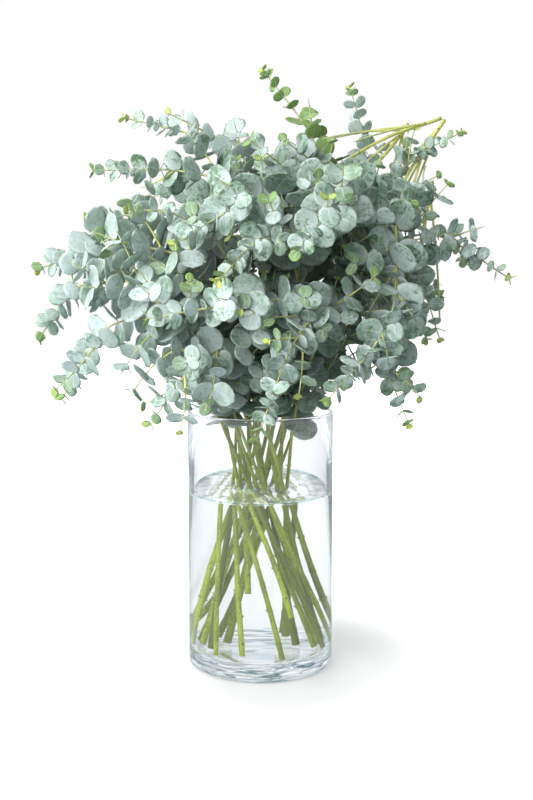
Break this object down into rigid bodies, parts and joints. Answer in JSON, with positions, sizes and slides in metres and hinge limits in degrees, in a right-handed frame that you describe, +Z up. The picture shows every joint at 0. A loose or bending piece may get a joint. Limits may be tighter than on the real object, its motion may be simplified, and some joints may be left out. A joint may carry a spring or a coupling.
{
  "type": "eucalyptus branches in a glass vase",
  "caption": "Bunch of cut eucalyptus branches with round grey-green leaves, standing and lying in a clear cylindrical glass vase part filled with water.",
  "frame": {"origin": "centre of the vase's flat underside", "axes": "+Z up along the vase's axis, -Y towards the viewer of the picture, +X to the picture's right"},
  "size_m": [0.379, 0.3503, 0.498],
  "materials": {
    "branch_back_left": "matt leaves with a pale bloom on green stems",
    "branch_back_low": "matt leaves with a pale bloom on green stems",
    "branch_back_right": "matt leaves with a pale bloom on green stems",
    "branch_back_right_low": "matt leaves with a pale bloom on green stems",
    "branch_back_upper": "matt leaves with a pale bloom on green stems",
    "branch_front_hanging": "matt leaves with a pale bloom on green stems",
    "branch_front_left_low": "matt leaves with a pale bloom on green stems",
    "branch_front_level": "matt leaves with a pale bloom on green stems",
    "branch_front_upper": "matt leaves with a pale bloom on green stems",
    "branch_laid_low": "matt leaves with a pale bloom on green stems",
    "branch_laid_middle": "matt leaves with a pale bloom on green stems",
    "branch_laid_right": "matt leaves with a pale bloom on green stems",
    "branch_laid_upper": "matt leaves with a pale bloom on green stems",
    "branch_left_back": "matt leaves with a pale bloom on green stems",
    "branch_left_front": "matt leaves with a pale bloom on green stems",
    "branch_left_level": "matt leaves with a pale bloom on green stems",
    "branch_left_long": "matt leaves with a pale bloom on green stems",
    "branch_left_low": "matt leaves with a pale bloom on green stems",
    "branch_left_middle": "matt leaves with a pale bloom on green stems",
    "branch_left_slim": "matt leaves with a pale bloom on green stems",
    "branch_left_upper": "matt leaves with a pale bloom on green stems",
    "branch_right_level": "matt leaves with a pale bloom on green stems",
    "branch_right_low": "matt leaves with a pale bloom on green stems",
    "branch_right_upper": "matt leaves with a pale bloom on green stems",
    "branch_top_green": "matt leaves with a pale bloom on green stems",
    "branch_top_pale": "matt leaves with a pale bloom on green stems",
    "vase": "clear and polished",
    "water": "clear water"
  },
  "bodies": {
    "root": {"branch_back_left": "branch_back_left", "branch_back_low": "branch_back_low", "branch_back_right": "branch_back_right", "branch_back_right_low": "branch_back_right_low", "branch_back_upper": "branch_back_upper", "branch_front_hanging": "branch_front_hanging", "branch_front_left_low": "branch_front_left_low", "branch_front_level": "branch_front_level", "branch_front_upper": "branch_front_upper", "branch_laid_low": "branch_laid_low", "branch_laid_middle": "branch_laid_middle", "branch_laid_right": "branch_laid_right", "branch_laid_upper": "branch_laid_upper", "branch_left_back": "branch_left_back", "branch_left_front": "branch_left_front", "branch_left_level": "branch_left_level", "branch_left_long": "branch_left_long", "branch_left_low": "branch_left_low", "branch_left_middle": "branch_left_middle", "branch_left_slim": "branch_left_slim", "branch_left_upper": "branch_left_upper", "branch_right_level": "branch_right_level", "branch_right_low": "branch_right_low", "branch_right_upper": "branch_right_upper", "branch_top_green": "branch_top_green", "branch_top_pale": "branch_top_pale", "vase": "vase", "water": "water"}
  },
  "joints": []
}
